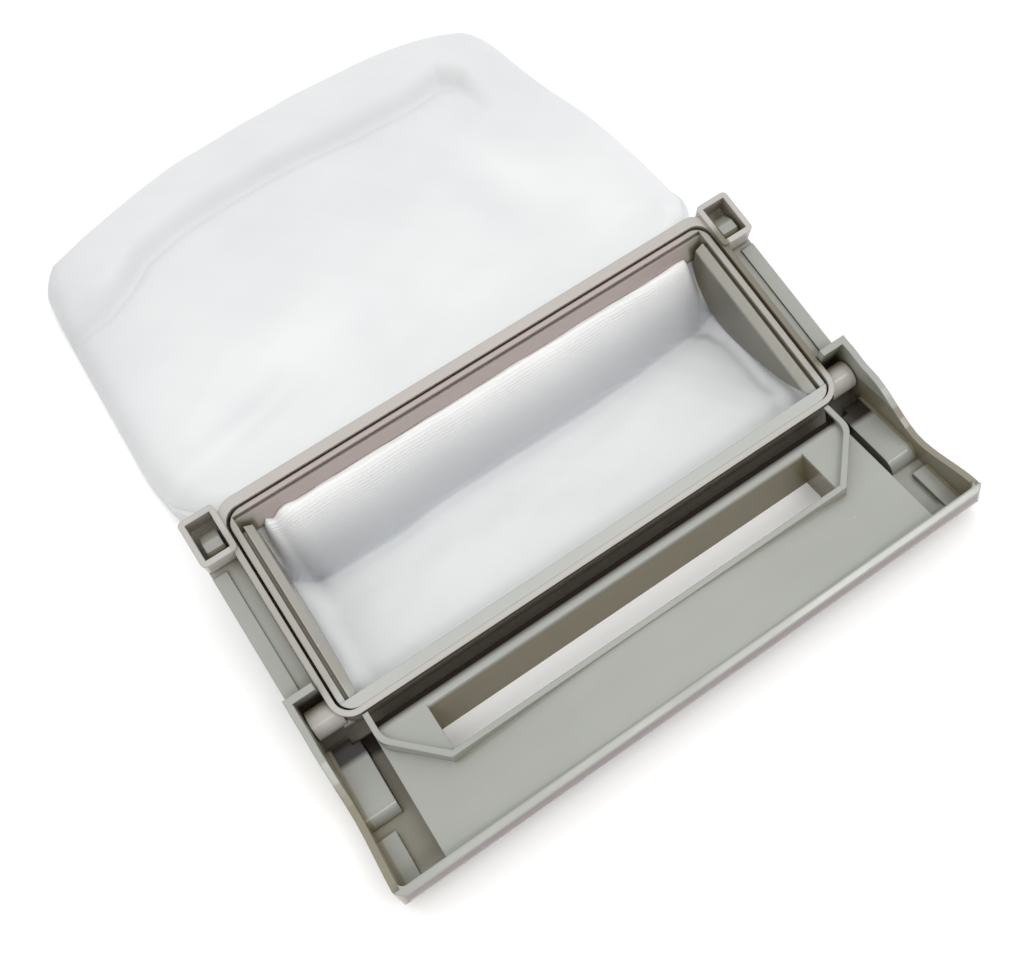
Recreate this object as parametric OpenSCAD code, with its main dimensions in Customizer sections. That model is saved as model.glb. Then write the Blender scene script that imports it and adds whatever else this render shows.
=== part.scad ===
// Washing machine lint filter: a moulded cover with a hinged net frame, a retaining frame and a net bag.
// Millimetres. X runs along the hinge, Y from the cover to the bag, Z up from the table.

/* [Net frame] */
// Outside width of the net frame
ring_w = 129; // [120:1:140]
// Outside depth of the net frame
ring_d = 54.2; // [48:0.2:62]
// Height of the net frame's walls
ring_h = 8.7; // [8:0.1:10]
// Wall thickness of the net frame
ring_t = 1.3; // [1.2:0.1:2.2]
// Wall thickness of the net frame at the far side
far_t = 2.5; // [1.6:0.1:3]
// Corner radius at the hinge side of the net frame
ring_r = 5; // [3:0.5:7]
// Width of the sunken groove between the net frame and the retaining frame
groove_w = 0.6; // [0.5:0.1:1.2]
// Rise of the net frame and of the arms over the table, in degrees
tilt = 19.5; // [12:0.5:24]
// Height of the net frame's top edge at the hinge side
ring_z = 11.8; // [11.4:0.1:12.6]
// Length of a latch socket along the arm
socket_d = 11.6; // [9:0.1:14]
// Height of a latch socket
socket_h = 5.3; // [4.5:0.1:5.5]
// Rise of a latch socket over the net frame's top
socket_rise = 1.1; // [0.5:0.1:1.4]

/* [Hinge] */
// Diameter of the hinge barrels
barrel_d = 6.8; // [6:0.1:7.4]
// Distance of the hinge line from the net frame's outer face
axis_y = 3.9; // [3.7:0.1:4.4]
// Depth of the hinge line under the net frame's top
axis_z = 4.4; // [4.1:0.1:4.7]
// Diameter of the hinge pins
pin_d = 4; // [3:0.1:4.4]

/* [Retaining frame] */
// Wall thickness of the retaining frame
keep_t = 1.4; // [1.2:0.1:2]
// Width of the flat band at the hinge side
band_w = 2.6; // [1.7:0.1:3]
// Lean of the retaining frame's far wall over its height
keep_lean = 2.2; // [0:0.1:3]
// Depth of the rounded cheeks under the top of the net frame
cheek_h = 20; // [15:0.5:20.5]
// Thickness of the cheeks
cheek_t = 1.8; // [1:0.1:2.2]

/* [Cover] */
// Outside width of the cover
cover_w = 143; // [141:1:156]
// Distance from the net frame to the cover's front face
cover_d = 36.8; // [35:0.2:46]
// Height of the cover's rim
rim_h = 11.8; // [11.4:0.1:12.6]
// Wall thickness of the cover
wall = 1.5; // [1.4:0.1:2.2]
// Radius of the cover's lower front edge
edge_r = 9; // [5:0.5:10]
// Radius of the cover's front corners
corner_r = 2.6; // [1.5:0.1:4]
// Width of the curved panel
panel_w = 120; // [112:1:124]
// Height of the curved panel at its middle
panel_h = 11.3; // [10.9:0.1:11.4]
// Fall of the curved panel from its middle to its sides
panel_fall = 3.2; // [1:0.1:4]
// Height of the side walls over the hinge
ear_h = 3.2; // [2:0.1:4]
// Height of the side walls at their lowest point
dip_h = 7.3; // [6.5:0.1:9]
// Distance from the front face to the lowest point of the side walls
dip_d = 18.8; // [15:0.2:21]

/* [Slot] */
// Length of the finger slot
slot_w = 96; // [80:1:100]
// Width of the finger slot
slot_d = 11.8; // [9:0.1:13]
// Distance of the slot from the net frame
slot_y = 6.2; // [4.5:0.1:7]
// Slope of the slot's back wall over its depth
slot_draft = 1.3; // [0:0.1:2.6]
// Width of the raised lip around the platform
lip_t = 1.3; // [1:0.1:2.4]
// Rise of the lip over the platform
lip_h = 1.7; // [1:0.1:2.2]
// Straight length of the lip's ends
lip_end = 6.6; // [4:0.2:8]
// Width of the slanted corners of the lip
lip_cut = 10.6; // [8:0.2:12]

/* [Channels] */
// Width of the large block in each channel
block_w = 7; // [5:0.1:7.5]
// Height of the large block
block_h = 4.8; // [4:0.1:6]
// Width of the small block
step_w = 4; // [2:0.1:4.4]
// Height of the small block
step_h = 3; // [2.2:0.1:3.4]

/* [Arms] */
// Width of an arm
arm_w = 6.5; // [5.5:0.1:7]
// Depth of an arm's top under the top of the net frame
arm_z = 4.5; // [4.4:0.1:5.5]
// Height of an arm
arm_h = 4; // [3:0.1:5]
// Wall thickness of an arm
arm_t = 1.5; // [1.2:0.1:2]
// Length of a latch peg
peg_d = 5.4; // [4:0.1:6]

/* [Net bag] */
// Width of the bag lying flat
bag_w = 150; // [146:1:164]
// Distance from the net frame's outer face to the end of the bag
bag_l = 192.5; // [150:0.5:230]
// Arch of the bag's far edge
bag_arch = 13; // [5:0.5:20]
// Height of the bag on the table
bag_h = 6; // [4.5:0.1:9]

/* [Hidden] */
$fn = 48;
// Clearance between pieces that move past each other
gap = 0.3;
// Radial clearance of the pins
pin_clear = 0.05;
// Small overlap that joins solids
lap = 0.02;
ring_x = ring_w / 2;
keep_x = ring_x - ring_t - groove_w;
// Groove between the retaining frame and the net frame's far wall
far_groove = 0.5;
keep_far = ring_d - far_t - far_groove;
keep_in = keep_far - 1.6;
keep_r = ring_r - ring_t;
// Groove between a cheek and the retaining frame's side wall
cheek_gap = 0.9;
cheek_x = keep_x - keep_t - cheek_gap;
floor_t = wall;
keep_low = ring_h - 1.5;
cover_x = cover_w / 2;
side_x = cover_x - wall;
front_y = -cover_d;
panel_x = panel_w / 2;
panel_r = (panel_x * panel_x + panel_fall * panel_fall) / (2 * panel_fall);
// Hinge line in the table's frame
hinge_y = axis_y * cos(tilt) + axis_z * sin(tilt);
hinge_z = ring_z + axis_y * sin(tilt) - axis_z * cos(tilt);
sweep_r = sqrt(axis_y * axis_y + max(axis_z, ring_h - axis_z) * max(axis_z, ring_h - axis_z));
// Far end of the platform and the lip, clear of the turning frame
lip_y = hinge_y - sweep_r - gap - 0.1;
lip_near = -slot_y - slot_d - lip_t;
// Start and fall of the rounded far edge of the platform
edge_y = -slot_y + 1;
edge_fall = 4;
plate_z = rim_h - lip_h;
rib_y = axis_y + barrel_d / 2 + 1.35;
rib_t = 1.6;
arm_x = cover_x - arm_w;
arm_far = ring_d - 0.4;
socket_x = cover_x + 0.1;
socket_y = ring_d + 0.5 - socket_d;
bag_near = hinge_y + 0.5;
bag_in = cheek_x - cheek_t - gap;
bag_low = 0.2;
floor_far = bag_near - 1;
mid_y = (bag_l - cover_d) / 2;

// Frame of the ring and the arms: Y away from the hinge side, Z = 0 at the net frame's top
module ring_space() {
  translate([0, 0, ring_z]) rotate([tilt, 0, 0]) children();
}

// Origin at the middle of the footprint
module placed() {
  translate([0, -mid_y, 0]) children();
}

module mirrored() {
  children();
  mirror([1, 0, 0]) children();
}

module box(x0, x1, y0, y1, z0, z1) {
  translate([x0, y0, z0]) cube([x1 - x0, y1 - y0, z1 - z0]);
}

// Value of a curve given as [position, value] rows
function along(rows, p, i = 0) =
  p <= rows[0][0] ? rows[0][1] :
  i >= len(rows) - 1 ? rows[len(rows) - 1][1] :
  p <= rows[i + 1][0] ?
    let (t = (p - rows[i][0]) / (rows[i + 1][0] - rows[i][0]), s = t * t * (3 - 2 * t))
      rows[i][1] + s * (rows[i + 1][1] - rows[i][1]) :
  along(rows, p, i + 1);

// Corner point of a polygon replaced by an arc of cuts
function rounded(a, p, b, r) =
  let (
    u = (a - p) / norm(a - p),
    v = (b - p) / norm(b - p),
    d = r / 2
  )
  [for (t = [0 : 0.25 : 1]) p + u * d * (1 - t) * (1 - t) + v * d * t * t];

// Upright block with rounded corners
module slab(x0, x1, y0, y1, z0, z1, r) {
  box(x0 + r, x1 - r, y0, y1, z0, z1);
  box(x0, x1, y0 + r, y1 - r, z0, z1);
  for (x = [x0 + r, x1 - r])
    for (y = [y0 + r, y1 - r])
      translate([x, y, z0]) cylinder(r = r, h = z1 - z0);
}

module bar_x(x0, x1, y, z, r) {
  translate([x0, y, z]) rotate([0, 90, 0]) cylinder(r = r, h = x1 - x0);
}

// Plate of a side profile given in Y and Z, standing across X
module profile_x(x0, x1, pts) {
  translate([x0, 0, 0]) rotate([90, 0, 90]) linear_extrude(x1 - x0) polygon(pts);
}

// Space under a rounded lower front edge
module front_round(inset, low) {
  box(-cover_x, cover_x, front_y + inset, floor_far, edge_r, rim_h + 1);
  box(-cover_x, cover_x, front_y + edge_r, floor_far, low, edge_r + lap);
  bar_x(-cover_x, cover_x, front_y + edge_r, edge_r, edge_r - inset);
}

rib_top_y = rib_y * cos(tilt) - ear_h * sin(tilt);
rib_top_z = ring_z + rib_y * sin(tilt) + ear_h * cos(tilt);

// Height of a side wall along Y: it dips behind the front corner and rises to the hinge
function side_top(y) = along([
  [front_y + wall, rim_h - 1],
  [front_y + dip_d, dip_h],
  [rib_top_y - 8, rib_top_z - 2.4],
  [rib_top_y, rib_top_z]
], y);

side_ys = [for (i = [0 : 20]) front_y + wall + (rib_top_y - front_y - wall) * i / 20];

// Walls of the tray with a rounded lower front edge and corners
module tray_shell() {
  difference() {
    intersection() {
      slab(-cover_x, cover_x, front_y, floor_far + 14, 0, rim_h, corner_r);
      front_round(0, 0);
    }
    intersection() {
      slab(-side_x, side_x, front_y + wall, floor_far + 20, floor_t, rim_h + 1, corner_r - 1);
      front_round(wall, floor_t);
    }
    mirrored() profile_x(side_x - lap, cover_x + 1, concat(
      [for (y = side_ys) if (y < floor_far) [y, side_top(y)]],
      [[floor_far + 1, rim_h + 2], [front_y + wall, rim_h + 2]]
    ));
  }
}

// Side wall that rises to the hinge
module side_wall() {
  far_y = (rib_y + rib_t) * cos(tilt) - ear_h * sin(tilt);
  far_z = ring_z + (rib_y + rib_t) * sin(tilt) + ear_h * cos(tilt);
  low_y = (rib_y + rib_t) * cos(tilt) + (arm_z + arm_h) * sin(tilt);
  low_z = ring_z + (rib_y + rib_t) * sin(tilt) - (arm_z + arm_h) * cos(tilt);
  profile_x(side_x, cover_x, concat(
    [for (y = side_ys) if (y > front_y + corner_r + 1) [y, side_top(y)]],
    [
      [far_y, far_z],
      [low_y, low_z],
      [floor_far + 3, 0],
      [front_y + edge_r + 1, 0],
      [front_y + corner_r + 1, edge_r - 3]
    ]
  ));
}

// Rib behind the barrel, across the pocket
module pocket_rib() {
  ring_space()
    box(ring_x + gap, cover_x, rib_y, rib_y + rib_t, -arm_z - arm_h, ear_h);
  box(ring_x + gap, cover_x, floor_far - 1, floor_far + 2.4, 0, floor_t);
  profile_x(ring_x + gap, cover_x, [
    [floor_far + 1, 0],
    [floor_far + 2.4, 0],
    [rib_y * cos(tilt) + (arm_z + arm_h) * sin(tilt) + 1.2, ring_z + rib_y * sin(tilt) - (arm_z + arm_h) * cos(tilt) + 0.4],
    [rib_y * cos(tilt) + (arm_z + arm_h) * sin(tilt), ring_z + rib_y * sin(tilt) - (arm_z + arm_h) * cos(tilt)]
  ]);
}

// Arm with a folded top, open underneath, and its latch peg
module arm() {
  ring_space() {
    difference() {
      box(arm_x, cover_x, rib_y + lap, arm_far, -arm_z - arm_h, -arm_z - 0.5);
      box(arm_x + arm_t, cover_x - arm_t, rib_y + rib_t, arm_far - arm_t, -arm_z - arm_h - 1, -arm_z - 0.5 - arm_t);
    }
    box(cover_x - arm_w * 0.52, cover_x, rib_y + lap, socket_y - 1.2, -arm_z - 0.6, -arm_z);
    peg();
  }
}

module peg() {
  peg_x0 = ring_x + 0.9;
  peg_x1 = socket_x - ring_t - 0.9;
  peg_y0 = socket_y + ring_t + 1;
  profile_x(peg_x0, peg_x1, [
    [peg_y0, -arm_z - 0.7],
    [peg_y0 + peg_d, -arm_z - 0.7],
    [peg_y0 + peg_d, -2.6],
    [peg_y0 + peg_d * 0.55, -0.7],
    [peg_y0 + 0.8, -0.7],
    [peg_y0, -1.6]
  ]);
}

// Curved panel that spans the cover between the channels
module panel_solid(x, y0, y1, drop) {
  intersection() {
    translate([0, y1, panel_h - panel_r]) rotate([90, 0, 0])
      cylinder(r = panel_r - drop, h = y1 - y0, $fn = 720);
    box(-x, x, y0, y1, -1, rim_h);
  }
}

module panel() {
  difference() {
    intersection() {
      panel_solid(panel_x, front_y + wall - lap, lip_y, 0);
      box(-panel_x, panel_x, front_y, lip_y, 0, rim_h);
    }
    panel_solid(panel_x - wall, front_y + wall, edge_y + 1.8, wall);
  }
}

// Outline of the platform, from its far end round the slanted corners
module lip_outline(inset, far, z0, z1) {
  x = panel_x - 0.2 - inset;
  k = inset * 0.42;
  a = [x, far];
  b = [x, lip_y - lip_end + k];
  c = [x - lip_cut + k, lip_near + inset];
  half = concat([a], rounded(a, b, c, 4), [c]);
  n = len(half);
  translate([0, 0, z0]) linear_extrude(z1 - z0) polygon(concat(
    half,
    [for (i = [n - 1 : -1 : 0]) [-half[i][0], half[i][1]]]
  ));
}

// Space over the platform: inside its raised lip and past its rounded far edge
module platform_cut() {
  x = panel_x - 0.2 - lip_t;
  lip_outline(lip_t, lip_y + 1, plate_z, rim_h + 1);
  profile_x(-x, x, concat(
    [for (a = [0 : 10 : 90])
      [edge_y + (lip_y - edge_y) * sin(a), plate_z - edge_fall * (1 - cos(a))]],
    [[lip_y + 1, plate_z - edge_fall], [lip_y + 1, rim_h + 1], [edge_y, rim_h + 1]]
  ));
}

// Panel and platform with the raised lip around the platform
module top_face() {
  difference() {
    union() {
      panel();
      difference() {
        lip_outline(0, 0, plate_z - wall, rim_h);
        bar_x(-panel_x, panel_x, hinge_y, hinge_z, sweep_r + gap + 0.1);
      }
    }
    platform_cut();
  }
}

// Walls of the slot, from the platform to the floor
module duct() {
  intersection() {
    box(-slot_w / 2 - 1.6, slot_w / 2 + 1.6, lip_near, -slot_y + 1.6, 0, plate_z - wall / 2);
    lip_outline(lap, lip_y, 0, plate_z);
  }
}

// Finger slot with a leaning back wall and a rounded far edge
module slot_cut() {
  profile_x(-slot_w / 2, slot_w / 2, [
    [-slot_y - slot_d, -1],
    [-slot_y - slot_draft, -1],
    [-slot_y - 0.08, plate_z - 0.8],
    [-slot_y + 0.1, plate_z - 0.38],
    [-slot_y + 0.4, plate_z - 0.1],
    [-slot_y + 0.8, plate_z],
    [-slot_y + 0.8, rim_h + 1],
    [-slot_y - slot_d, rim_h + 1]
  ]);
}

// Blocks on the floor of a channel
module channel_blocks() {
  nose_y = lip_near + 4.2;
  nose_r = block_h - floor_t;
  box(side_x - block_w, side_x + lap, nose_y, lip_y, 0, block_h);
  box(ring_x + gap, side_x + lap, lip_y - lap, 0.6, 0, block_h);
  intersection() {
    bar_x(side_x - block_w, side_x + lap, nose_y, block_h - nose_r, nose_r);
    box(0, cover_x, front_y, 0, 0, block_h);
  }
  box(side_x - step_w, side_x + lap, front_y + edge_r - 5, nose_y - nose_r - 2.9, 0.4, step_h);
}

// Everything outside the rounded lower front edge and the sloping top of the front wall
module front_cut() {
  profile_x(-cover_x - 1, cover_x + 1, [
    [front_y - 1, rim_h + 1],
    [front_y + wall * 0.8, rim_h + 1],
    [front_y + wall * 0.8, rim_h],
    [front_y, rim_h - wall * 0.4],
    [front_y - 1, rim_h - wall * 0.4]
  ]);
  difference() {
    box(-cover_x - 1, cover_x + 1, front_y - 1, front_y + edge_r, -1, edge_r);
    bar_x(-cover_x - 2, cover_x + 2, front_y + edge_r, edge_r, edge_r);
  }
}

module cover() {
  color([0.70, 0.70, 0.64]) placed() difference() {
    union() {
      difference() {
        tray_shell();
        box(-panel_x + wall, panel_x - wall, front_y + wall, lip_near, -1, floor_t + 1);
      }
      top_face();
      duct();
      mirrored() {
        side_wall();
        pocket_rib();
        arm();
        channel_blocks();
      }
    }
    slot_cut();
    front_cut();
    bar_x(-cover_x - 1, -side_x + 1, hinge_y, hinge_z, pin_d / 2 + pin_clear);
    bar_x(side_x - 1, cover_x + 1, hinge_y, hinge_z, pin_d / 2 + pin_clear);
  }
}

// Latch socket beside a far corner of the net frame
module socket() {
  difference() {
    slab(ring_x - ring_t, socket_x, socket_y, socket_y + socket_d, socket_rise - socket_h, socket_rise, 1.2);
    box(ring_x, socket_x - ring_t, socket_y + ring_t, socket_y + socket_d - ring_t, -socket_h, socket_rise + 1);
  }
}

module net_frame() {
  color([0.74, 0.72, 0.67]) placed() ring_space() {
    difference() {
      slab(-ring_x, ring_x, 0, ring_d, -ring_h, 0, ring_r);
      slab(-ring_x + ring_t, ring_x - ring_t, ring_t, ring_d - far_t, -keep_low, 1, ring_r - ring_t);
      slab(-keep_x + keep_t, keep_x - keep_t, ring_t + band_w, keep_in - keep_lean, -ring_h - 1, 1, 1.4);
    }
    mirrored() {
      socket();
      difference() {
        bar_x(ring_x - ring_t, side_x - gap, axis_y, -axis_z, barrel_d / 2);
        box(0, ring_x - ring_t, 0, ring_d, -ring_h - 1, 1);
      }
      bar_x(side_x - gap - lap, cover_x - gap, axis_y, -axis_z, pin_d / 2);
    }
  }
}

// Lower edge of a cheek, as shares of its length and of its depth
cheek_edge = [
  [0.00, 0.11], [0.03, 0.17], [0.09, 0.30], [0.14, 0.42], [0.21, 0.54], [0.30, 0.66], [0.40, 0.77],
  [0.48, 0.86], [0.56, 0.94], [0.64, 0.99], [0.71, 1.00], [0.78, 0.97], [0.85, 0.89], [0.91, 0.79],
  [0.96, 0.66], [0.99, 0.52], [1.00, 0.38]
];

// Rounded cheek with a bevelled top that holds the net open at one end
module cheek() {
  x1 = cheek_x;
  y0 = ring_t + band_w - lap;
  y1 = keep_in - keep_lean - 0.2;
  intersection() {
    profile_x(x1 - cheek_t, x1, concat(
      [for (q = cheek_edge) [y0 + q[0] * (y1 - y0), -q[1] * cheek_h]],
      [[y1, -1.2], [y0, -1.2]]
    ));
    translate([0, y1, 0]) rotate([90, 0, 0]) linear_extrude(y1 - y0) polygon([
      [x1 - cheek_t, -cheek_h - 1],
      [x1, -cheek_h - 1],
      [x1, -1.2],
      [x1 - 0.2, -1.2],
      [x1 - cheek_t, -3]
    ]);
  }
  box(x1 - lap, keep_x - keep_t + lap, y0, y1 - 0.6, -cheek_h * 0.28, -cheek_h * 0.14);
}

// Frame that clamps the net, open over the mouth, with a leaning far wall
module retainer() {
  top = -0.6;
  y0 = ring_t + band_w;
  x = keep_x - keep_t;
  color([0.72, 0.70, 0.65]) placed() ring_space() {
    difference() {
      union() {
        slab(-keep_x, keep_x, ring_t, keep_far, -keep_low, top, keep_r);
        intersection() {
          slab(-keep_x, keep_x, ring_t, keep_far, -keep_low, -lap, keep_r);
          box(-keep_x, keep_x, ring_t, y0, -keep_low, 0);
        }
      }
      profile_x(-x, x, [
        [y0, -ring_h],
        [y0, 1],
        [keep_in, 1],
        [keep_in, top - 0.8],
        [keep_in - keep_lean, -keep_low + 0.2],
        [keep_in - keep_lean, -ring_h]
      ]);
      box(-x, x, keep_in - lap, keep_in + 0.5, top - 1.6, 1);
    }
    mirrored() cheek();
  }
}

far_low_y = ring_d * cos(tilt) + ring_h * sin(tilt);
far_low_z = ring_z + ring_d * sin(tilt) - ring_h * cos(tilt);
free_l = bag_l - far_low_y;

// Half width of the bag along Y
function bag_half(y) = along([
  [bag_near, bag_in],
  [far_low_y - 3, bag_in],
  [far_low_y + 6, ring_x - 1],
  [far_low_y + 26, bag_w / 2 - 1.5],
  [bag_l - free_l * 0.29, bag_w / 2],
  [bag_l - 14, bag_w / 2 - 2],
  [bag_l, bag_w / 2 - 9]
], y);

// Height of the bag's upper side along Y, sunken at the crease inside the frame
function bag_top(y) = along([
  [bag_near, ring_z - ring_h / cos(tilt) + bag_near * tan(tilt) - 0.5],
  [far_low_y - 30, 3],
  [far_low_y - 22, 3.2],
  [far_low_y - 13, 10.5],
  [far_low_y - 5, far_low_z - 6],
  [far_low_y + 3, far_low_z - 2.6],
  [far_low_y + 20, bag_h + 5],
  [far_low_y + free_l * 0.3, bag_h + 1],
  [bag_l - 24, bag_h],
  [bag_l - 6, bag_h - 3.5],
  [bag_l, 1.4]
], y);

module net_bag() {
  nu = 20;
  nv = 34;
  top = [for (j = [0 : nv]) for (i = [0 : nu])
    let (
      u = 2 * i / nu - 1,
      t = j / nv,
      y = bag_near + t * (bag_l - bag_near),
      far = 1 - bag_arch * pow(abs(u), 2.4) * t * t / (bag_l - bag_near),
      yy = bag_near + t * (bag_l - bag_near) * far,
      rim = pow(1 - pow(abs(u), 6), 0.5),
      low = bag_low + 1.2
    )
    [u * bag_half(y), yy, low + (max(bag_top(y), low + 0.1) - low) * rim]];
  low = [for (p = top) [p[0], p[1], bag_low]];
  n = nu + 1;
  m = n * (nv + 1);
  faces = concat(
    [for (j = [0 : nv - 1]) for (i = [0 : nu - 1]) [j * n + i, j * n + i + 1, (j + 1) * n + i + 1]],
    [for (j = [0 : nv - 1]) for (i = [0 : nu - 1]) [j * n + i, (j + 1) * n + i + 1, (j + 1) * n + i]],
    [for (j = [0 : nv - 1]) for (i = [0 : nu - 1]) [m + j * n + i, m + (j + 1) * n + i + 1, m + j * n + i + 1]],
    [for (j = [0 : nv - 1]) for (i = [0 : nu - 1]) [m + j * n + i, m + (j + 1) * n + i, m + (j + 1) * n + i + 1]],
    [for (i = [0 : nu - 1]) [i, m + i, m + i + 1, i + 1]],
    [for (i = [0 : nu - 1]) [nv * n + i + 1, m + nv * n + i + 1, m + nv * n + i, nv * n + i]],
    [for (j = [0 : nv - 1]) [(j + 1) * n, m + (j + 1) * n, m + j * n, j * n]],
    [for (j = [0 : nv - 1]) [j * n + nu, m + j * n + nu, m + (j + 1) * n + nu, (j + 1) * n + nu]]
  );
  color([0.90, 0.92, 0.95]) placed()
    polyhedron(points = concat(top, low), faces = [for (f = faces) [for (k = [len(f) - 1 : -1 : 0]) f[k]]]);
}

cover();
net_frame();
retainer();
net_bag();
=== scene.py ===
"""Looks of the washing machine lint filter: moulded plastic frames and a bag of fine white net."""

import math

import bpy  # noqa: E402
import numpy as np  # noqa: E402
from mathutils import Matrix, Vector  # noqa: E402


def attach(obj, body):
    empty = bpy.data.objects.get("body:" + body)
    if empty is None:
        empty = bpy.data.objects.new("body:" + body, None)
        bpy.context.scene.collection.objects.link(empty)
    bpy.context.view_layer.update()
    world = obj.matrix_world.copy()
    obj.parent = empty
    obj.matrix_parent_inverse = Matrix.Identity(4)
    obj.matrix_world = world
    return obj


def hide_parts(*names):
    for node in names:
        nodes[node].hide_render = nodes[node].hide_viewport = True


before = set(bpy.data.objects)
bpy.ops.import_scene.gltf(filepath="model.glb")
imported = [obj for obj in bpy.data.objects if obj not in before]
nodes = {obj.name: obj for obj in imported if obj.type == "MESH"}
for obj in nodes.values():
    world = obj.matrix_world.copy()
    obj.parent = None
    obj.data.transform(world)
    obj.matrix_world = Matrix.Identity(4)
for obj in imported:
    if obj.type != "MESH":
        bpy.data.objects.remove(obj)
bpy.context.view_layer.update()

# The bag is worked out in millimetres from the hinge side of the net frame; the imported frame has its
# origin in the middle of the footprint.
MIDDLE_Y = 77.85
TILT = math.radians(19.5)
RING_TOP, RING_HEIGHT = 11.8, 8.7


# ---------------------------------------------------------------- curves and meshes


def curve(rows, at):
    """Smooth line through rows of (position, value): a cubic between each two rows, whose slope at a row
    is the harmonic mean of the slopes on both sides, so that it never swings past a row."""
    p, v = np.array(rows, float).T
    s = np.diff(v) / np.diff(p)
    both = s[1:] * s[:-1]
    inner = np.where(both > 0, 2 * both / np.where(both > 0, s[1:] + s[:-1], 1), 0)
    m = np.concatenate([[s[0]], inner, [s[-1]]])
    i = np.clip(np.searchsorted(p, at) - 1, 0, len(p) - 2)
    h = p[i + 1] - p[i]
    q = np.clip((at - p[i]) / h, 0, 1)
    return (
        v[i] * (1 + 2 * q) * (1 - q) ** 2
        + v[i + 1] * q * q * (3 - 2 * q)
        + h * (m[i] * q * (1 - q) ** 2 - m[i + 1] * q * q * (1 - q))
    )


def step(low, high, at):
    """0 below low, 1 above high, and a smooth rise between."""
    q = np.clip((at - low) / (high - low), 0, 1)
    return q * q * (3 - 2 * q)


def mound(x, y, at, reach, turn=0.0):
    """Rounded swelling of height 1 at a point, with its two reaches turned by an angle in degrees."""
    c, s = math.cos(math.radians(turn)), math.sin(math.radians(turn))
    a = ((x - at[0]) * c + (y - at[1]) * s) / reach[0]
    b = ((y - at[1]) * c - (x - at[0]) * s) / reach[1]
    return np.exp(-a * a - b * b)


def beside(x, y, line):
    """Distance of each point to the left of a line of points, less than 0 on its right, and the share
    of the line at which it is nearest."""
    best = np.full(x.shape, np.inf)
    side = np.zeros(x.shape)
    share = np.zeros(x.shape)
    line = np.array(line, float)
    for k, (a, b) in enumerate(zip(line[:-1], line[1:])):
        d = b - a
        t = np.clip(((x - a[0]) * d[0] + (y - a[1]) * d[1]) / (d @ d), 0, 1)
        off = np.hypot(x - a[0] - t * d[0], y - a[1] - t * d[1])
        left = np.sign(d[0] * (y - a[1]) - d[1] * (x - a[0]))
        near = off < best
        best = np.where(near, off, best)
        side = np.where(near, left, side)
        share = np.where(near, (k + t) / (len(line) - 1), share)
    return best * side, share


def cloth_mesh(name, x, y, z, thickness, values):
    """Mesh of a grid of points given in millimetres, with a map that follows the cloth: across by X and
    along by the length of cloth from the first row. The values are kept by name at each point."""
    rows, columns = x.shape
    points = np.stack([x, y - MIDDLE_Y, z], axis=-1) / 1000
    n = np.arange(rows * columns).reshape(rows, columns)
    quads = np.stack([n[:-1, :-1], n[:-1, 1:], n[1:, 1:], n[1:, :-1]], axis=-1).reshape(-1, 4)
    mesh = bpy.data.meshes.new(name)
    mesh.vertices.add(rows * columns)
    mesh.vertices.foreach_set("co", points.ravel())
    mesh.loops.add(quads.size)
    mesh.loops.foreach_set("vertex_index", quads.ravel())
    mesh.polygons.add(len(quads))
    mesh.polygons.foreach_set("loop_start", np.arange(0, quads.size, 4))
    mesh.polygons.foreach_set("use_smooth", np.ones(len(quads), bool))
    mesh.update(calc_edges=True)
    run = np.linalg.norm(np.diff(points, axis=0), axis=-1)
    along = np.vstack([np.zeros((1, columns)), np.cumsum(run, axis=0)])
    across = points[..., 0]
    cloth = np.stack([across, along], axis=-1).reshape(-1, 2) * 10
    mesh.uv_layers.new(name="cloth").data.foreach_set("uv", cloth[quads.ravel()].ravel())
    for title, value in values.items():
        mesh.attributes.new(title, "FLOAT", "POINT").data.foreach_set("value", np.float32(value).ravel())
    piece = bpy.data.objects.new(name, mesh)
    bpy.context.scene.collection.objects.link(piece)
    wall = piece.modifiers.new("thickness", "SOLIDIFY")
    wall.thickness = thickness / 1000
    wall.offset = 0
    return piece


# ---------------------------------------------------------------- shaders


class Wire:
    """A value that varies over a surface. Arithmetic on it adds Math nodes to its finish."""

    def __init__(self, finish, socket):
        self.finish, self.socket = finish, socket

    def math(self, operation, *terms):
        return self.finish.add("ShaderNodeMath", {"operation": operation}, dict(enumerate(terms)))

    def __add__(self, other):
        return self.math("ADD", self, other)

    def __sub__(self, other):
        return self.math("SUBTRACT", self, other)

    def __rsub__(self, other):
        return self.math("SUBTRACT", other, self)

    def __mul__(self, other):
        return self.math("MULTIPLY", self, other)

    def __pow__(self, other):
        return self.math("POWER", self, other)

    __radd__, __rmul__ = __add__, __mul__

    def wave(self, pitch):
        """Wave from -1 to 1 with a given pitch."""
        return self.math("SINE", self * (2 * math.pi / pitch))

    def between(self, low, high):
        """0 below low, 1 above high, and a smooth rise between."""
        return self.finish.add(
            "ShaderNodeMapRange",
            {"interpolation_type": "SMOOTHSTEP"},
            {"Value": self, "From Min": low, "From Max": high},
        )


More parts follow.
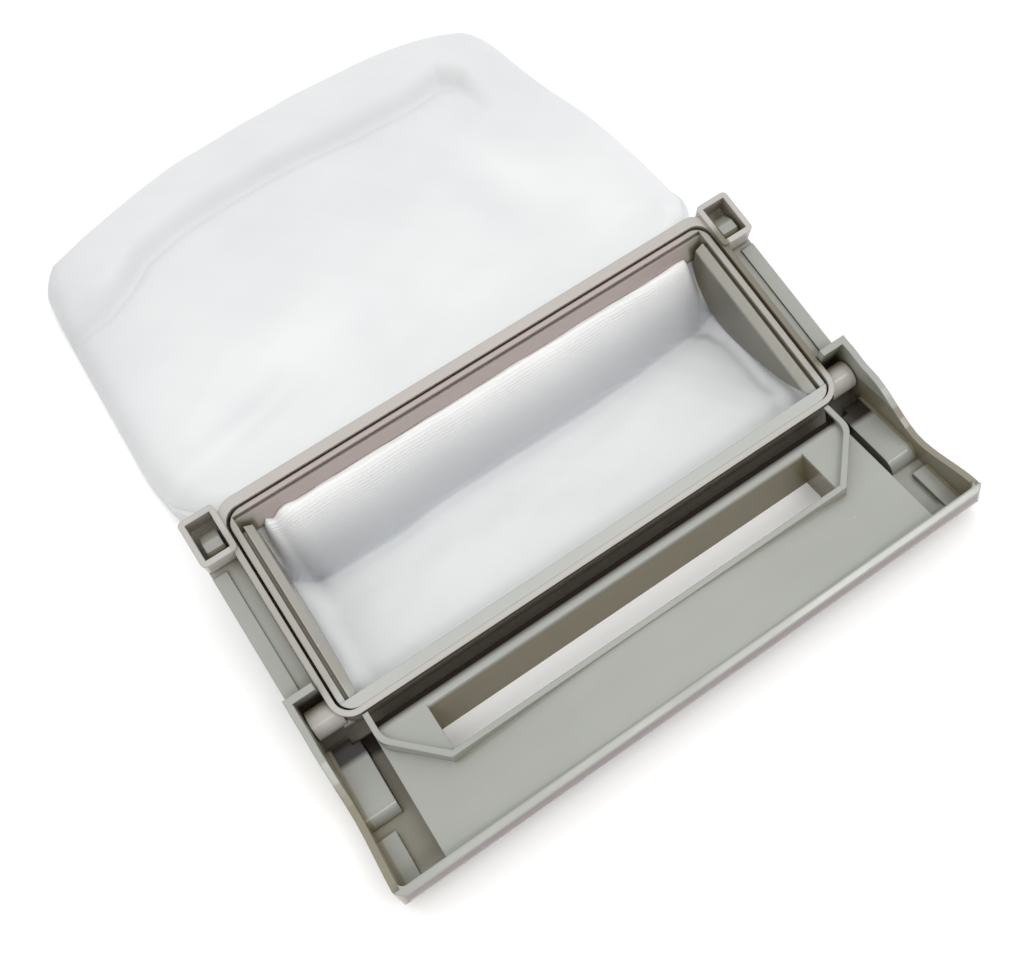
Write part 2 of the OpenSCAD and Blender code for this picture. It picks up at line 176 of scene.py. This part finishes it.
class Finish:
    """A material or a world under construction."""

    def __init__(self, owner, output="ShaderNodeOutputMaterial"):
        self.owner = owner
        owner.use_nodes = True
        self.tree = owner.node_tree
        self.tree.nodes.clear()
        self.end = self.tree.nodes.new(output)

    def add(self, kind, settings, values, output=0):
        """Adds a node: first its settings, then the numbers or links of its sockets."""
        made = self.tree.nodes.new(kind)
        for key, value in settings.items():
            setattr(made, key, value)
        for key, value in values.items():
            if isinstance(value, Wire):
                self.tree.links.new(value.socket, made.inputs[key])
            else:
                made.inputs[key].default_value = value
        return Wire(self, made.outputs[output])

    def mix(self, share, a, b):
        """Colour between two colours."""
        return self.add("ShaderNodeMix", {"data_type": "RGBA"}, {0: share, 6: a, 7: b}, 2)

    def noise(self, place, scale, detail=2.0, roughness=0.5):
        return self.add(
            "ShaderNodeTexNoise",
            {},
            {"Vector": place, "Scale": scale, "Detail": detail, "Roughness": roughness},
        )

    def stretched(self, place, scale, turn=0.0):
        return self.add(
            "ShaderNodeMapping",
            {},
            {"Vector": place, "Scale": scale, "Rotation": (0, 0, math.radians(turn))},
        )

    def bump(self, height, distance, strength, normal=None):
        values = {"Height": height, "Distance": distance, "Strength": strength}
        if normal is not None:
            values["Normal"] = normal
        return self.add("ShaderNodeBump", {}, values)

    def close(self, values, kind="ShaderNodeBsdfPrincipled"):
        """Puts the shader on the output."""
        shader = self.add(kind, {}, values)
        self.tree.links.new(shader.socket, self.end.inputs["Surface"])
        return self.owner


def moulded_plastic(name, tone, worn, shine, deep_shade_colour, second_tone=(0, 0, 0, 1), second_shares=(0, 0, 0), rosy_light=0, cover_shades=False):
    """Glossy moulded plastic: faint flow streaks, a paler worn tone in streaks and clouds, edges softened,
    specks of dust, and painted shade: an olive, then brown tint in corners and hollows found by ambient
    occlusion, each plastic's deep shade colour in the deepest hollows, and near black in the trench. A second,
    darker tone shows by three shares: beyond the near band, and on the left and the right sides of the net
    frame. Painted shade also lies on the inner faces of the cheeks; on the cover, in the slot, on the side
    walls' inner faces, on the left channel floor and on the front face; and where given, a painted rosy light
    lies on the far walls."""
    m = Finish(bpy.data.materials.new(name))
    place = m.add("ShaderNodeTexCoord", {}, {}, "Object")
    streaks = m.noise(m.stretched(place, (14, 60, 60), 4), 1.0, 4.0, 0.6)
    clouds = m.noise(place, 38.0, 3.0, 0.55)
    tint = m.mix(streaks.between(0.3, 0.72) * 0.5 + clouds.between(0.35, 0.7) * 0.3, tone, worn)
    flecks = m.add(
        "ShaderNodeTexVoronoi",
        {"feature": "F1"},
        {"Vector": m.stretched(place, (1, 0.7, 1), 31), "Scale": 160.0, "Randomness": 1.0},
        "Distance",
    )
    rare = m.noise(place, 60.0, 1.0, 0.5).between(0.665, 0.70)
    speck = (1 - flecks.between(0.03, 0.05)) * rare
    open_air = m.add("ShaderNodeAmbientOcclusion", {"samples": 4}, {"Distance": 0.008}, "AO")
    along = m.add("ShaderNodeSeparateXYZ", {}, {"Vector": place}, "Y") * 1000 + MIDDLE_Y
    height = m.add("ShaderNodeSeparateXYZ", {}, {"Vector": place}, "Z") * 1000
    side = m.add("ShaderNodeSeparateXYZ", {}, {"Vector": place}, "X") * 1000
    out = side.math("ABSOLUTE", side)
    # Painted shade: the trench between the platform and the net frame, inside the side walls, is painted near
    # black.
    trench_shade = along.between(-5.4, -3.5) * (1 - along.between(0.3, 0.9)) * (1 - height.between(10.7, 11.7))
    trench_shade = trench_shade * (1 - out.between(69.0, 69.6))
    # Painted shade in the cover's slot.
    slot_shade = along.between(-20, -19.3) * (1 - along.between(-6.0, -5.6)) * (1 - height.between(8.8, 9.8))
    slot_shade = slot_shade * (1 - out.between(48.6, 49.6))
    # Painted shade on the inner faces of the cover's side walls.
    side_wall_shade = out.between(69.0, 69.6) * height.between(2, 3) * (1 - height.between(10.8, 11.4))
    # Painted shadow on the left channel floor beside the panel.
    left_floor_shadow = (1 - side.between(-60, -58)) * (1 - height.between(1.8, 2.4)) * (1 - along.between(-4, -1))
    # Painted shade on the cover's front face, dark and rosy.
    front_shade = (1 - along.between(-36.75, -36.35)) * (1 - height.between(10.2, 11.4))
    # Painted shade: olive, then brown where ambient occlusion finds a hollow, with more added in the slot, on the
    # side walls' inner faces and on the left channel floor.
    cavity_shade = 1 - open_air.between(0.1, 0.58)
    if cover_shades:
        cavity_shade = cavity_shade + slot_shade * 0.72 + side_wall_shade * 0.65 + left_floor_shadow * 0.5
        cavity_shade = cavity_shade.math("MINIMUM", cavity_shade, 1.0)
        tint = m.mix(front_shade * 0.9, tint, (0.165, 0.123, 0.13, 1))
    # Painted shade in the deepest hollows, in each plastic's own deep shade colour.
    deep_shade = 1 - open_air.between(0.0, 0.14)
    # A second, darker tone by place: beyond the near band, and on the left and the right sides of the net frame.
    if any(second_shares):
        past_band = along.between(4, 9)
        beside_net = past_band * (1 - along.between(43, 47)) * (1 - out.between(64.5, 65.2))
        left, right = 1 - side.between(-62, -59), side.between(60, 62)
        tint = m.mix(past_band * second_shares[0] + beside_net * (left * second_shares[1] + right * second_shares[2]), tint, second_tone)
        # Painted rosy light on the far walls.
        far_wall = along.between(41, 45) * (1 - out.between(56, 58))
        tint = m.mix(far_wall * rosy_light, tint, (0.43, 0.345, 0.335, 1))
    drop = height * math.cos(TILT) - along * math.sin(TILT) - RING_TOP * math.cos(TILT)
    # Painted shade on the inner faces of the retaining frame's cheeks.
    cheek_shade = out.between(57.2, 58.2) * (1 - out.between(60.4, 61.0)) * (1 - drop.between(-4.5, -2.5)) * along.between(6, 9)
    colour = m.mix(cheek_shade * 0.85, tint, (0.10, 0.09, 0.062, 1))
    colour = m.mix(speck * 0.4, colour, (0.8, 0.8, 0.77, 1))
    # The painted shade is mixed in last: hollows, deepest hollows, then the trench.
    colour = m.mix(cavity_shade * 0.95, colour, (0.15, 0.116, 0.048, 1))
    colour = m.mix(deep_shade * 0.96, colour, deep_shade_colour)
    colour = m.mix(trench_shade * 0.99, colour, (0.014, 0.008, 0.006, 1))
    soft_edge = m.add("ShaderNodeBevel", {"samples": 6}, {"Radius": 0.0004})
    skin = m.noise(place, 420.0, 2.0, 0.5)
    waves = m.noise(m.stretched(place, (40, 90, 90), 0), 1.0, 1.0, 0.4)
    normal = m.bump(waves, 0.0009, 0.25, m.bump(skin, 0.00005, 0.3, soft_edge))
    rough = clouds.between(0.3, 0.75) * 0.08 + speck * 0.3 + shine
    return m.close(
        {
            "Base Color": colour,
            "Roughness": rough,
            "Normal": normal,
            "Specular IOR Level": 0.5,
        }
    )


def net_cloth(name):
    """Fine nylon net: rows of threads along X, finer cross threads and faint blotches. The mesh gives the net's
    tone at each point, with painted shade and light on its folds, crease and roll, and how clearly its threads
    show there; the dark end of its colour is a bluish painted shadow."""
    m = Finish(bpy.data.materials.new(name))
    cloth = m.add("ShaderNodeUVMap", {"uv_map": "cloth"}, {}, "UV")
    parts = {"Vector": cloth}
    across = m.add("ShaderNodeSeparateXYZ", {}, parts, "X")
    along = m.add("ShaderNodeSeparateXYZ", {}, parts, "Y")
    # The tone attribute holds the net's own tone with painted shade and light.
    tone = m.add("ShaderNodeAttribute", {"attribute_name": "tone"}, {}, "Fac")
    clear = m.add("ShaderNodeAttribute", {"attribute_name": "weave"}, {}, "Fac")
    drift = m.noise(m.stretched(cloth, (4, 14, 1)), 1.0, 2.0, 0.5) * 0.006
    row = (along + drift).wave(0.0088)
    cross = across.wave(0.0046)
    visible = clear * (m.noise(cloth, 5.0, 2.0, 0.5).between(0.3, 0.6) * 0.6 + 0.4)
    blotch = m.noise(cloth, 3.0, 2.0, 0.5).between(0.3, 0.7) - 0.5
    light = tone * 0.87 + blotch * 0.012 - (row * 0.5 + 0.5) * visible * 0.08
    # The dark end of the colour is a bluish painted shadow.
    colour = m.mix(light, (0.0, 0.02, 0.07, 1), (0.99, 1.0, 0.985, 1))
    threads = row * 0.5 + cross * 0.18
    fine = m.bump(threads * visible, 0.00012, 0.5)
    folds = m.bump(m.noise(cloth, 2.5, 1.0, 0.4), 0.0012, 0.5, fine)
    return m.close(
        {
            "Base Color": colour,
            "Roughness": blotch * 0.08 + 0.55,
            "Normal": folds,
            "Specular IOR Level": 0.35,
            "Sheen Weight": 0.15,
        }
    )


# ---------------------------------------------------------------- net bag

THREAD = 0.35
FAR_EDGE = [
    (-70.4, 176.7),
    (-55, 183.2),
    (-37.2, 188.4),
    (-20, 191.2),
    (-2, 192.4),
    (16, 192.6),
    (32.9, 191.8),
    (46, 189.6),
    (57.8, 185.7),
    (67.1, 179.8),
]
LEFT_SIDE = [
    (5, 61.0),
    (54, 61.0),
    (57, 61.8),
    (62, 65.5),
    (70, 71),
    (80, 74.2),
    (95, 76),
    (120, 76.3),
    (150, 76.6),
    (166, 76.2),
    (172, 74.2),
    (176.7, 70.4),
]
RIGHT_SIDE = [
    (5, 61.0),
    (54, 61.0),
    (57, 61.8),
    (62, 66),
    (70, 72.5),
    (80, 76),
    (100, 77),
    (119, 76.6),
    (137, 74.5),
    (155, 72.4),
    (171.4, 71.1),
    (176, 69.6),
    (179.8, 67.1),
]
# Crease at the right end of the roll, where it turns towards the near wall; a painted shade line runs along it.
CREASE_END = [
    (48, 42.6),
    (52.5, 41.8),
    (55.2, 39.5),
    (56.4, 34.7),
    (56.4, 27),
    (55.9, 19.8),
    (56.8, 13.5),
]
CREASE = [
    (-59.3, 43),
    (-56, 41.5),
    (-50, 40),
    (-37, 39.6),
    (-14, 40.9),
    (14, 40.6),
    (31, 41),
    (45, 42.3),
    (52, 42.6),
    (56.5, 43.2),
    (59.3, 43.4),
]
# Cloth from the crease over the crest of the roll to the underside of the frame's far wall. The wall
# stands at the row for ROLL_WALL, wherever the crease is.
ROLL_WALL, WALL_Y = 6.5, 47.4
ROLL = [
    (-10, 0.8),
    (-3.5, 1.0),
    (-0.6, 0.75),
    (0.2, 0.95),
    (0.9, 3.2),
    (1.8, 8.4),
    (2.7, 13.4),
    (3.7, 18.0),
    (4.7, 21.0),
    (5.5, 22.3),
    (6.1, 22.2),
    (6.8, 21.1),
    (7.6, 20.5),
    (9.5, 20.2),
    (13, 20.2),
]
# Lowest edge of the retaining frame's cheeks, which the cloth passes under.
CHEEK_LOW = [(8, 4.0), (20, 2.4), (33, 3.0), (39, 4.0), (42, 5.6), (44, 8.0), (46, 10.6), (47.5, 14), (50, 21)]
# Fold that runs along the far edge and turns down beside the right edge.
HEM_FOLD = [
    (57.5, 140),
    (56.8, 150),
    (55.6, 160),
    (50.5, 165.6),
    (37, 164),
    (14, 165.6),
    (-7.7, 167.6),
    (-30.7, 166),
    (-40.4, 164),
    (-49.9, 161.4),
    (-57.6, 154.5),
    (-65.4, 150),
    (-77, 147),
]


def under_ring(y):
    """Height of the net frame's lower edge over the table."""
    along_frame = (y - RING_HEIGHT * math.sin(TILT)) / math.cos(TILT)
    return RING_TOP + along_frame * math.sin(TILT) - RING_HEIGHT * math.cos(TILT)


def half_width(y, u):
    return np.where(u < 0, curve(LEFT_SIDE, y), curve(RIGHT_SIDE, y))


def bag_grid(near, across, along, turned_up, crowding=1.0):
    """Grid of the bag: columns spread by u from side to side, with a share of them in the turned-up
    edge, and rows run from the near line to the arched far edge, closer together near the frame where
    the crowding is over 1."""
    u = np.linspace(-1, 1, across)[None, :]
    t = np.linspace(0, 1, along)[:, None] ** crowding
    reach = np.where(u < 0, -FAR_EDGE[0][0], FAR_EDGE[-1][0])
    far = curve(FAR_EDGE, u * reach)
    y = near + t * (far - near)
    half = half_width(y, u + 0 * t)
    flat = np.clip(np.abs(u) / (1 - turned_up), 0, 1)
    rise = np.clip((np.abs(u) - 1 + turned_up) / turned_up, 0, 1)
    x = np.sign(u) * (flat * (half - 0.3) + rise * 0.3)
    return x, y, half, rise + 0 * t


def side_height(y):
    """Height of the seam at the bag's sides: under the frame's side walls, then down to the table."""
    drop = curve([(50, 0), (54.5, 0.02), (58, 0.45), (62, 0.85), (68, 1)], y)
    return (under_ring(np.minimum(y, 54)) - 0.25) * (1 - drop) + 0.6 * drop


def ripples(x, y, size):
    """Soft waves that cross each other, from a few sines at angles that don't repeat."""
    total = 0
    for k, (turn, pitch) in enumerate(((23, 21), (71, 29), (118, 17), (160, 37), (95, 12), (41, 9.5))):
        a = math.radians(turn)
        bent = x * math.cos(a) + y * math.sin(a) + 3 * np.sin((x - y) / (15 + 2 * k) + k)
        total = total + np.sin(bent * 2 * math.pi / pitch + 1.7 * k) * pitch / 21
    return size * total / 3


def upper_height(x, y, half):
    """Height of the upper net: it hangs from the frame's far wall down to the flat bag, rounds down to
    the seam at the sides, and stands up in a soft ridge behind the fold along the far edge."""
    reach = np.where(x < 0, FAR_EDGE[0][0], FAR_EDGE[-1][0])
    far = curve(FAR_EDGE, np.clip(x, FAR_EDGE[0][0], FAR_EDGE[-1][0])) + 0 * reach
    inside = np.minimum(half - np.abs(x), (far - y) * 0.95)
    top = curve(
        [
            (49, 19.3),
            (54, 21.25),
            (57, 19.9),
            (62, 17.2),
            (68, 13.9),
            (75, 10.9),
            (84, 8.6),
            (98, 7.0),
            (120, 6.3),
            (150, 5.6),
            (200, 5.2),
        ],
        y,
    )
    free = step(58, 84, y)
    swell = ripples(x, y, 0.3) * free
    swell = swell + free * (
        1.3 * mound(x, y, (-24, 98), (20, 9), 35)
        - 1.1 * mound(x, y, (-44, 92), (15, 5), 28)
        + 0.9 * mound(x, y, (-54, 79), (16, 4), 12)
        + 0.8 * mound(x, y, (-52, 102), (18, 4), 40)
        - 0.9 * mound(x, y, (-4, 90), (7, 13), -10)
        + 0.8 * mound(x, y, (46, 112), (10, 7), 20)
        - 0.8 * mound(x, y, (40, 96), (12, 8), 0)
        + 0.7 * mound(x, y, (56, 86), (8, 10), 0)
        + 0.5 * mound(x, y, (42, 136), (9, 7), 0)
    )
    off, share = beside(x, y, HEM_FOLD)
    off = -off
    kept = step(0.0, 0.2, share)
    ridge = (3.6 * step(-4.5, 2.2, off) - 2.0 * step(2.0, 24, off)) * kept
    groove = -1.4 * np.exp(-(((off + 3.4) / 2.6) ** 2)) * kept
    pinch = -2.6 * mound(x, y, (-70, 150.5), (8, 2.6), 12)
    edge = np.clip(inside / 7.5, 0, 1)
    rounded = np.sqrt(np.clip(1 - (1 - edge) ** 2.2, 0, 1))
    low = side_height(y)
    height = low + (top + swell + ridge + groove + pinch - low) * rounded
    return np.maximum(height, low)


def past_crease(x, y):
    """Row of ROLL at each point: millimetres before the crease, and a share of the way to the far wall
    after it."""
    crease = curve(CREASE, np.clip(x, -59.3, 59.3))
    q = y - crease
    after = np.where(y < WALL_Y, q * ROLL_WALL / (WALL_Y - crease), y - WALL_Y + ROLL_WALL)
    return np.where(q < 0, q, after)


def lower_height(x, y, half, rise):
    """Height of the lower net: it comes down from the near wall, lies on the table, turns up at the
    crease in a roll to the far wall, goes down again inside the bag and lies flat to the far edge."""
    q = past_crease(x, y)
    lying = curve([(5, 4.2), (6.2, 2.6), (8.5, 1.1), (13, 0.75), (24, 0.85), (60, 0.9)], y)
    roll = curve(ROLL, q)
    over = curve(
        [(46, 24), (52, 20.3), (56, 18.0), (62, 13.6), (70, 8.6), (80, 3.9), (92, 1.0), (100, 0.55), (200, 0.5)], y
    )
    body = np.where(q < -10, lying, np.maximum(roll, lying * step(2, -8, q)))
    body = np.where(q < 0, np.maximum(body, lying), body)
    z = np.where(y < 50, body, np.minimum(body, over))
    mouth = 1 - step(44, 54, y)
    side = np.abs(x)
    start = np.where(x < 0, 53.8, 55.6)
    lift = 2.1 * step(0, 1, (side - start) / (59 - start)) * mouth * step(7, 12, y)
    z = z + lift * step(6, -1, q)
    waves = ripples(x * 1.7, y * 1.7, 0.16) * step(8, 14, y) * (1 - step(50, 70, y))
    folds = (
        0.9 * mound(x, y, (-56.5, 33.5), (3.2, 5.0), 20)
        - 1.3 * mound(x, y, (-54.2, 46.5), (1.1, 7.0), 6)
        + 0.7 * mound(x, y, (-50.8, 47.0), (1.8, 6.0), 6)
        + 0.35 * mound(x, y, (34, 30), (14, 5), 12)
        + 0.3 * mound(x, y, (-20, 26), (20, 6), 4)
        - 0.25 * mound(x, y, (8, 22), (9, 5), -20)
    )
    z = z + (waves + folds * step(9, 14, y)) * step(59, 55, side)
    under_cheek = step(55.8, 58.1, side) * (1 - step(50.5, 52, y))
    z = z + (np.minimum(z, curve(CHEEK_LOW, y)) - z) * under_cheek
    z = np.maximum(z, 0.45)
    return z + (np.maximum(side_height(y), z) - z) * rise


def band(distance, width):
    """Soft line of height 1, twice as wide as its width."""
    return np.exp(-((distance / width) ** 2))


def upper_tone_and_shade(x, y, half):
    """Brightness of the upper net, its own tone with painted shade and light: brighter towards the frame,
    painted shade along the fold and a little beyond it, and mostly at the left edge where the cloth turns down,
    and painted light on the raised soft folds and ripples, painted shade in their hollows."""
    off, share = beside(x, y, HEM_FOLD)
    off = -off
    kept = step(0.0, 0.12, share) * (1 - 0.6 * step(0.9, 1.0, share))
    tone = 0.725 + 0.05 * step(140, 98, y)
    # Painted shade along the fold and a little beyond it.
    tone = tone + kept * (-0.03 * band(off + 1.6, 1.7) - 0.01 * band(off + 6, 5) - 0.005 * step(0, 3, off))
    inside = half - np.abs(x)
    # Painted shade at the edges where the cloth turns down, mostly at the left.
    left = np.where(x < 0, 1.0, 0.25) * step(60, 75, y)
    tone = tone - left * (0.11 * band(inside - 1, 4.2) + 0.035 * band(inside - 8, 6))
    # Painted light on raised folds and painted shade in their hollows.
    tone = tone + (
        0.06 * mound(x, y, (-31, 99), (15, 8), 32)
        + 0.05 * mound(x, y, (-58, 82), (14, 4), 14)
        - 0.05 * mound(x, y, (-50, 90), (16, 3.5), 24)
        - 0.045 * mound(x, y, (-44, 82), (12, 3), 20)
        - 0.03 * mound(x, y, (-10, 92), (5, 12), -12)
        + 0.05 * mound(x, y, (46, 118), (6, 16), 12)
        - 0.035 * mound(x, y, (34, 108), (6, 14), 10)
        + 0.03 * mound(x, y, (56, 86), (8, 10), 0)
        - 0.03 * mound(x, y, (-68, 150), (7, 2), 14)
    )
    # Painted light and shade following the ripples.
    return tone + 0.008 * ripples(x, y, 1.0)


def lower_tone_and_shade(x, y):
    """Brightness of the lower net, its own tone with painted shade and light: a painted shade line in the crease
    at the foot of the roll and just before it, a roll painted grey below and white above, a painted shade line
    along the crease at the right end, painted shade beside the cheeks, and painted light and shade on the
    folds at its ends."""
    q = past_crease(x, y)
    inner = 1 - step(52, 56, y)
    # Painted shade line in the crease at the foot of the roll, and just before it.
    tone = 0.79 - 0.1 * band(q - 0.1, 0.6) * inner - 0.06 * band(np.minimum(q + 1, 0), 2.5)
    # The roll painted grey below and white above.
    roll = curve([(-1, -0.02), (0, -0.12), (1.2, -0.17), (2.2, -0.08), (3.5, 0.13), (5.2, 0.27), (12, 0.2)], q)
    tone = tone + np.where(q > -1, roll, 0) * inner
    # Painted shade line along the crease at the right end, and painted shade beside the cheeks.
    end, share = beside(x, y, CREASE_END)
    tone = tone - 0.22 * band(end, 0.9) * step(0.08, 0.25, share) * (1 - step(0.9, 1, share))
    tone = tone - 0.05 * step(56.5, 58.5, np.abs(x)) * inner
    # Painted light on raised folds and painted shade in their hollows at the ends.
    tone = tone + inner * (
        0.10 * mound(x, y, (-58, 37), (2.2, 5), 20)
        - 0.14 * mound(x, y, (-54.4, 46), (0.9, 6), 6)
        - 0.10 * mound(x, y, (-52, 40), (4, 1.2), -12)
        + 0.03 * mound(x, y, (30, 30), (16, 4), 10)
        - 0.025 * mound(x, y, (6, 22), (12, 4), -16)
    )
    return tone


def lower_weave(x, y):
    """How clearly the threads show in the lower net: most on the upper half of the roll."""
    q = past_crease(x, y)
    return 0.12 + 0.88 * step(2.0, 4.5, q) * (1 - step(52, 60, y))


def net_bag_upper():
    """Upper net: height over the grid from the far wall of the frame to the far edge."""
    x, y, half, rise = bag_grid(49.5, 200, 235, 0.02)
    values = {"tone": upper_tone_and_shade(x, y, half), "weave": np.full(x.shape, 0.12)}
    return cloth_mesh("net_upper", x, y, upper_height(x, y, half), THREAD, values)


def net_bag_lower():
    """Lower net: height over the grid from the near wall of the frame to the far edge."""
    x, y, half, rise = bag_grid(5.4, 190, 246, 0.06, 1.5)
    values = {"tone": lower_tone_and_shade(x, y), "weave": lower_weave(x, y)}
    return cloth_mesh("net_lower", x, y, lower_height(x, y, half, rise), THREAD, values)


# ---------------------------------------------------------------- pieces

# Each plastic: its tone, its worn tone, its shine and the colour of the painted shade in its deepest hollows; the
# frame and the retainer also a second, darker tone with its three shares, and the strength of the painted rosy
# light.
cover_plastic = moulded_plastic(
    "cover_plastic",
    (0.295, 0.305, 0.278, 1),
    (0.33, 0.34, 0.313, 1),
    0.15,
    (0.026, 0.016, 0.012, 1),
    cover_shades=True,
)
frame_plastic = moulded_plastic(
    "frame_plastic",
    (0.40, 0.387, 0.36, 1),
    (0.45, 0.435, 0.41, 1),
    0.16,
    (0.19, 0.145, 0.12, 1),
    (0.155, 0.14, 0.10, 1),
    (0, 0.3, 0.95),
    0.25,
)
retainer_plastic = moulded_plastic(
    "retainer_plastic",
    (0.385, 0.395, 0.375, 1),
    (0.43, 0.44, 0.42, 1),
    0.16,
    (0.19, 0.145, 0.12, 1),
    (0.29, 0.275, 0.225, 1),
    (0.6, 0, 0),
    0.65,
)
white_net = net_cloth("white_net")

for node, finish in (("cover", cover_plastic), ("net_frame", frame_plastic), ("retainer", retainer_plastic)):
    piece = nodes[node]
    if not piece.material_slots:
        piece.data.materials.append(finish)
    for place in piece.material_slots:
        place.link = "OBJECT"
        place.material = finish

# Each sheet's cut: its widest part by its length from edge to edge, with the ease that the folds take,
# and its own area, which is less because the corners are round and the mouth is narrower.
for piece, flat, area in (
    (net_bag_upper(), (0.158, 0.15), 0.0228),
    (net_bag_lower(), (0.158, 0.206), 0.0290),
):
    piece.data.materials.append(white_net)
    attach(piece, "frame")
    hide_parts("net_bag")

# ---------------------------------------------------------------- studio

floor_mesh = bpy.data.meshes.new("floor")
floor_mesh.from_pydata([(-4, -4, 0), (4, -4, 0), (4, 4, 0), (-4, 4, 0)], [], [(0, 1, 2, 3)])
floor = bpy.data.objects.new("floor", floor_mesh)
bpy.context.scene.collection.objects.link(floor)
paper = Finish(bpy.data.materials.new("paper"))
floor_mesh.materials.append(paper.close({"Base Color": (0.97, 0.97, 0.97, 1), "Roughness": 0.9}))

# Soft room light from all round: dimmer and rosy low on the near side, dimmer and straw-coloured low on
# the left.
world = bpy.data.worlds.new("studio")
bpy.context.scene.world = world
room = Finish(world, "ShaderNodeOutputWorld")
way = room.add("ShaderNodeTexCoord", {}, {}, "Generated")
to_x, to_y, to_z = (room.add("ShaderNodeSeparateXYZ", {}, {"Vector": way}, axis) for axis in "XYZ")
low = 1 - to_z.between(0.15, 0.6)
near = (1 - to_y.between(-0.85, -0.05)) * low
left = (1 - to_x.between(-0.85, -0.05)) * low
tone = room.mix(near, (1.0, 1.0, 1.0, 1), (1.0, 0.90, 0.93, 1))
tone = room.mix(left, tone, (1.0, 0.96, 0.86, 1))
dimmed = (1 - near * 0.4) * (1 - left * 0.35)
room.close({"Color": tone, "Strength": dimmed * 1.2}, "ShaderNodeBackground")


def softbox(name, at, target, size, watts, colour=(1, 1, 1)):
    light = bpy.data.lights.new(name, "AREA")
    light.shape = "RECTANGLE"
    light.size, light.size_y = size
    light.energy = watts
    light.color = colour
    made = bpy.data.objects.new(name, light)
    made.location = at
    made.rotation_euler = (Vector(target) - Vector(at)).to_track_quat("-Z", "Y").to_euler()
    bpy.context.scene.collection.objects.link(made)
    return made


softbox("key", (0.2, -0.75, 0.92), (0, 0, 0), (0.8, 0.12), 3.0, (1.0, 0.99, 0.975))

camera_data = bpy.data.cameras.new("camera")
camera_data.sensor_fit = "HORIZONTAL"
camera_data.sensor_width = 36
camera_data.lens = 45.506
camera_data.shift_x = -0.06431
camera_data.shift_y = -0.05844
camera_data.clip_start = 0.01
camera = bpy.data.objects.new("camera", camera_data)
right = (0.82579732, -0.54129549, -0.1582971)
up = (0.52557, 0.63683, 0.56412)
back = (-0.20454513, -0.54904125, 0.81037954)
at = (-0.046162, -0.207510, 0.249790)
camera.matrix_world = Matrix([[right[i], up[i], back[i], at[i]] for i in range(3)] + [[0, 0, 0, 1]])
bpy.context.scene.collection.objects.link(camera)
bpy.context.scene.camera = camera
bpy.context.scene.view_settings.view_transform = "Standard"
